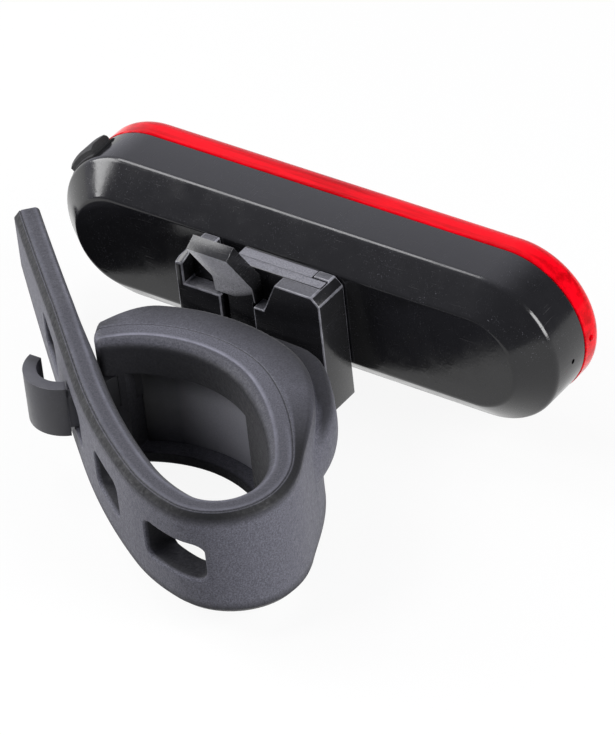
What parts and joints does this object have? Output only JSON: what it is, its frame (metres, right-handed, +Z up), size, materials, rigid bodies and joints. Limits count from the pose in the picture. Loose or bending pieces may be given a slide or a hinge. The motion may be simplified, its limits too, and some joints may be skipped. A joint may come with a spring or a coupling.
{
  "type": "bicycle rear light",
  "caption": "Pill-shaped red rear light on a slide-in bracket with a rubber strap that hooks round a seat post.",
  "frame": {"origin": "on the seat post's axis at mid-height of the strap", "axes": "+Z up along the seat post, +Y the way the lens faces, +X along the lamp head"},
  "size_m": [0.1094, 0.0778, 0.0394],
  "materials": {
    "gloss_black": "polished injection-moulded black plastic",
    "lens_red": "clear red polished plastic",
    "satin_black": "satin black plastic",
    "strap_rubber": "matte charcoal rubber with fine grain",
    "button_rubber": "matte black silicone",
    "seal_rubber": "soft black seal",
    "white_plastic": "white reflector plastic",
    "board_green": "solder mask",
    "board_blue": "solder mask",
    "led_resin": "cast resin",
    "chip_black": "moulded epoxy",
    "plated_steel": "bright plated",
    "cell_foil": "laminated foil pouch",
    "foam": "closed-cell foam tape",
    "wire_red": "wire insulation",
    "wire_black": "wire insulation"
  },
  "bodies": {
    "bracket": {"receiver": "gloss_black", "saddle_hook": "satin_black", "rubber_strap": "strap_rubber"},
    "head": {"rear_housing": "gloss_black", "lens": "lens_red", "lens_gasket": "seal_rubber", "reflector_tray": "white_plastic", "led_board": "board_green", "leds": "led_resin", "driver_chips": "chip_black", "usb_socket": "plated_steel", "usb_tongue": "chip_black", "tact_switch": "plated_steel", "battery_cell": "cell_foil", "protection_board": "board_blue", "battery_foam": "foam", "battery_lead_red": "wire_red", "battery_lead_black": "wire_black", "board_screws": "plated_steel"},
    "latch": {"release_latch": "gloss_black"},
    "button": {"power_button": "button_rubber"},
    "cover": {"port_cover": "button_rubber"}
  },
  "joints": [
    {"name": "head_slide", "type": "slide", "parent": "bracket", "child": "head", "axis": [0, 0, 1], "range_m": [0, 0.022]},
    {"name": "latch_flex", "type": "hinge", "parent": "bracket", "child": "latch", "pos_m": [-0.00205, 0.03185, 0.004], "axis": [1, 0, 0], "range_deg": [0, 7], "stiffness_Nm_per_rad": 0.05},
    {"name": "button_press", "type": "slide", "parent": "head", "child": "button", "axis": [0, 0, 1], "range_m": [0, 0.0005], "stiffness_N_per_m": 400},
    {"name": "port_cover_flex", "type": "hinge", "parent": "head", "child": "cover", "pos_m": [-0.04291, 0.0462, -0.00411], "axis": [0, -1, 0], "range_deg": [0, 95], "stiffness_Nm_per_rad": 0.001}
  ]
}
